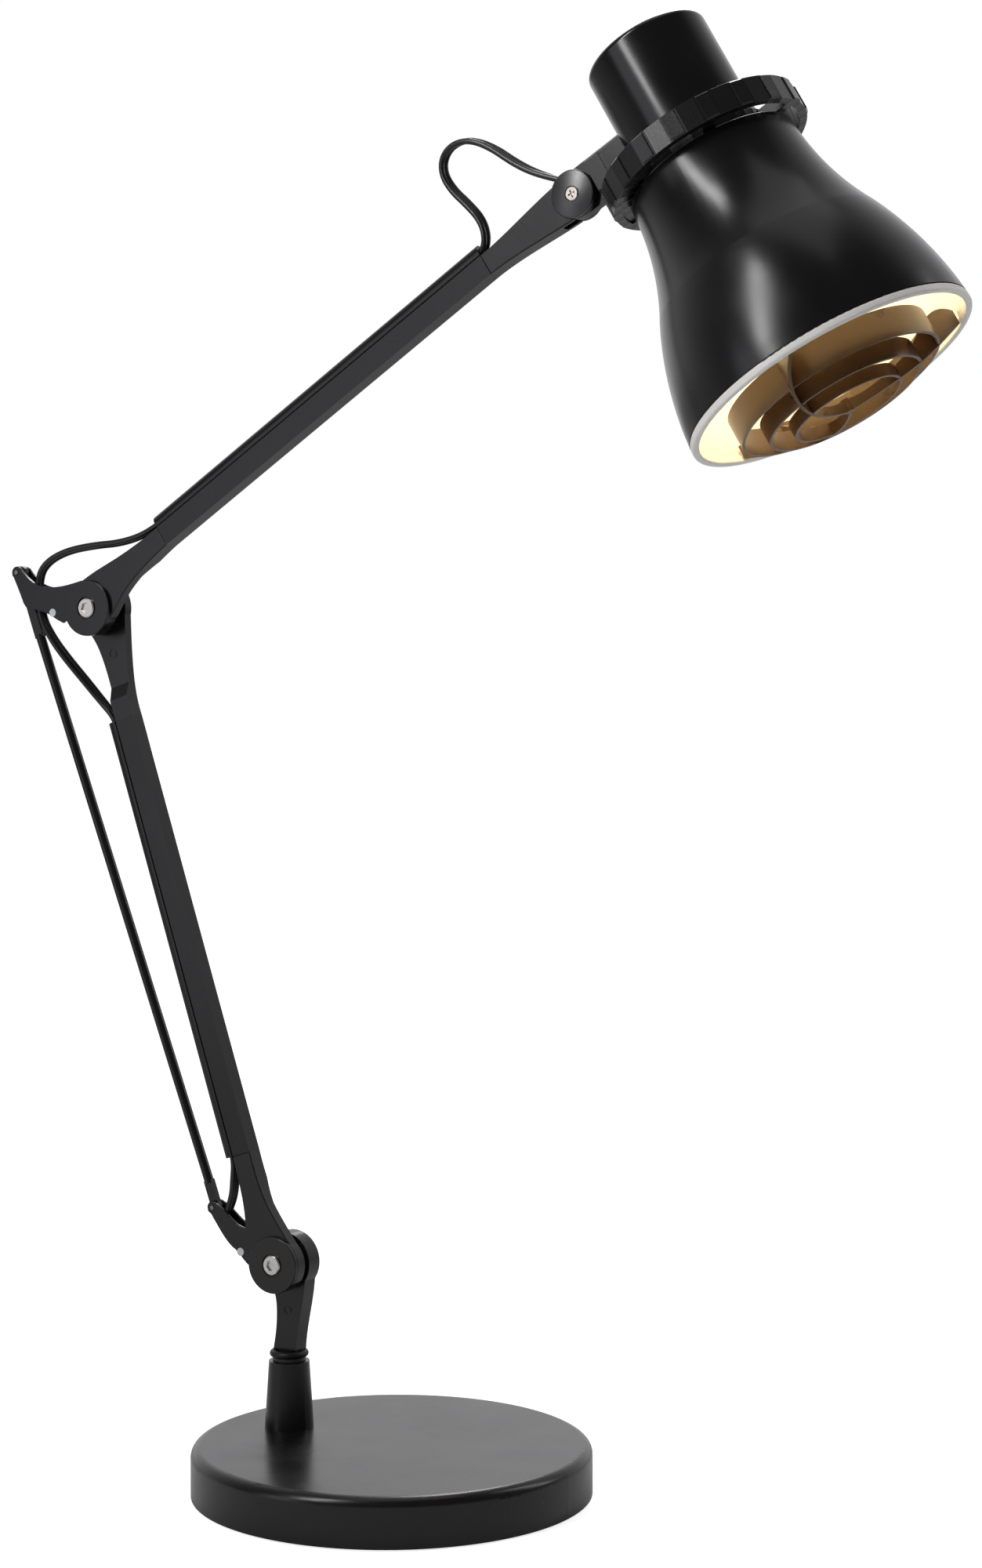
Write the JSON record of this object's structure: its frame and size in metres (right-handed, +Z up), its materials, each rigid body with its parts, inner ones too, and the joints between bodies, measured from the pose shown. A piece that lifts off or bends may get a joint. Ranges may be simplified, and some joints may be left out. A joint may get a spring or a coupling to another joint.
{
  "type": "swing arm desk lamp",
  "caption": "Black desk lamp with a round weighted base, two jointed balanced arms with a steering rod, and a bell shade with a grip ring and anti-glare rings.",
  "frame": {"origin": "middle of the round base's underside, on the table", "axes": "+Z up, +X from the arm's side of the base towards the lamp head, +Y to the back; the arms lie in X-Z planes just in front of the middle"},
  "size_m": [0.5218, 0.2014, 0.7091],
  "materials": {
    "black_paint": "satin black lacquer",
    "black_shade": "satin black lacquer",
    "black_casting": "satin black coated die casting",
    "black_extrusion": "satin black coated extrusion",
    "black_rod": "satin black steel rod",
    "black_plastic": "fine matt black",
    "black_rubber": "satin black rubber",
    "lead_black": "satin flat twin lead",
    "weight_iron": "rough grey iron",
    "foot_pad": "matt black foot sheet",
    "bush_plastic": "natural plastic bush",
    "zinc": "bright zinc",
    "nickel": "nickel plate",
    "rivet": "worn blackened rivet",
    "spring_steel": "oiled spring steel",
    "white_liner": "satin cream white liner",
    "louver_dark": "satin charcoal",
    "holder_black": "gloss black phenolic",
    "bulb_cap": "screw cap",
    "bulb_glass": "frosted, lit warm white"
  },
  "bodies": {
    "base": {"base_cover": "black_paint", "base_weight": "weight_iron", "base_pad": "foot_pad", "lead_grommet": "black_rubber", "stem_socket": "black_paint", "stem_nut": "zinc", "swivel_bush": "bush_plastic"},
    "bracket": {"shoulder_bracket": "black_casting", "swivel_collar": "black_rubber", "shoulder_lever": "black_casting", "shoulder_spring_pin": "zinc", "rod_pin_lower": "rivet", "shoulder_bolt": "zinc", "shoulder_nut": "zinc", "shoulder_washer": "black_plastic", "shoulder_disc": "black_plastic"},
    "lower_arm": {"lower_arm_tube": "black_extrusion", "lower_arm_foot": "black_casting", "lower_arm_top": "black_casting", "lower_spring": "spring_steel", "lower_spring_anchor": "black_plastic", "lead_lower_run": "lead_black", "lead_shoulder_loop": "lead_black", "lead_elbow_low": "lead_black"},
    "link_rod": {"link_rod": "black_rod"},
    "elbow_lever": {"elbow_lever": "black_casting", "elbow_spring_pin": "zinc", "rod_pin_upper": "rivet", "elbow_bolt": "zinc", "elbow_nut": "zinc", "elbow_washer": "black_plastic"},
    "upper_arm": {"upper_arm_tube": "black_extrusion", "upper_arm_foot": "black_casting", "upper_arm_fork": "black_casting", "upper_spring": "spring_steel", "upper_spring_anchor": "black_plastic", "lead_upper_run": "lead_black", "lead_elbow_high": "lead_black", "lead_head_loop": "lead_black", "tilt_disc": "black_plastic", "tilt_washer": "black_rubber", "tilt_screw": "nickel", "tilt_nut": "zinc"},
    "neck": {"neck_knuckle": "black_casting", "head_swivel_bolt": "zinc"},
    "head": {"lamp_cap": "black_plastic", "grip_ring": "black_plastic", "shade": "black_shade", "shade_liner": "white_liner", "louver": "louver_dark", "lampholder": "holder_black", "shade_ring_nut": "holder_black", "bulb_cap": "bulb_cap", "bulb_glass": "bulb_glass"}
  },
  "joints": [
    {"name": "base_swivel", "type": "hinge", "parent": "base", "child": "bracket", "pos_m": [-0.0615, 0, 0.06], "axis": [0, 0, 1], "range_deg": [-175, 175]},
    {"name": "shoulder", "type": "hinge", "parent": "bracket", "child": "lower_arm", "pos_m": [-0.0615, -0.0088, 0.11], "axis": [0, 1, 0], "range_deg": [-12, 45], "deforming": ["lead_shoulder_loop"]},
    {"name": "steering_rod", "type": "hinge", "parent": "bracket", "child": "link_rod", "pos_m": [-0.10041, -0.0082, 0.13527], "axis": [0, 1, 0], "range_deg": [-13, 46.5]},
    {"name": "elbow_lever_pivot", "type": "hinge", "parent": "lower_arm", "child": "elbow_lever", "pos_m": [-0.17108, -0.0088, 0.44135], "axis": [0, 1, 0], "range_deg": [-39.5, 11], "deforming": ["lead_elbow_low"]},
    {"name": "elbow", "type": "hinge", "parent": "elbow_lever", "child": "upper_arm", "pos_m": [-0.17108, -0.0156, 0.44135], "axis": [0, 1, 0], "range_deg": [-42, 50], "deforming": ["lead_elbow_high"]},
    {"name": "head_tilt", "type": "hinge", "parent": "upper_arm", "child": "neck", "pos_m": [0.11316, -0.0156, 0.63063], "axis": [0, 1, 0], "range_deg": [-75, 55], "deforming": ["lead_head_loop"]},
    {"name": "head_swivel", "type": "hinge", "parent": "neck", "child": "head", "pos_m": [0.13114, -0.0156, 0.64148], "axis": [0.8563, 0, 0.5165], "range_deg": [-90, 90]}
  ],
  "couplings": [
    {"joint": "steering_rod", "follows": "shoulder", "ratio": 1.021},
    {"joint": "elbow_lever_pivot", "follows": "shoulder", "ratio": -0.858}
  ]
}
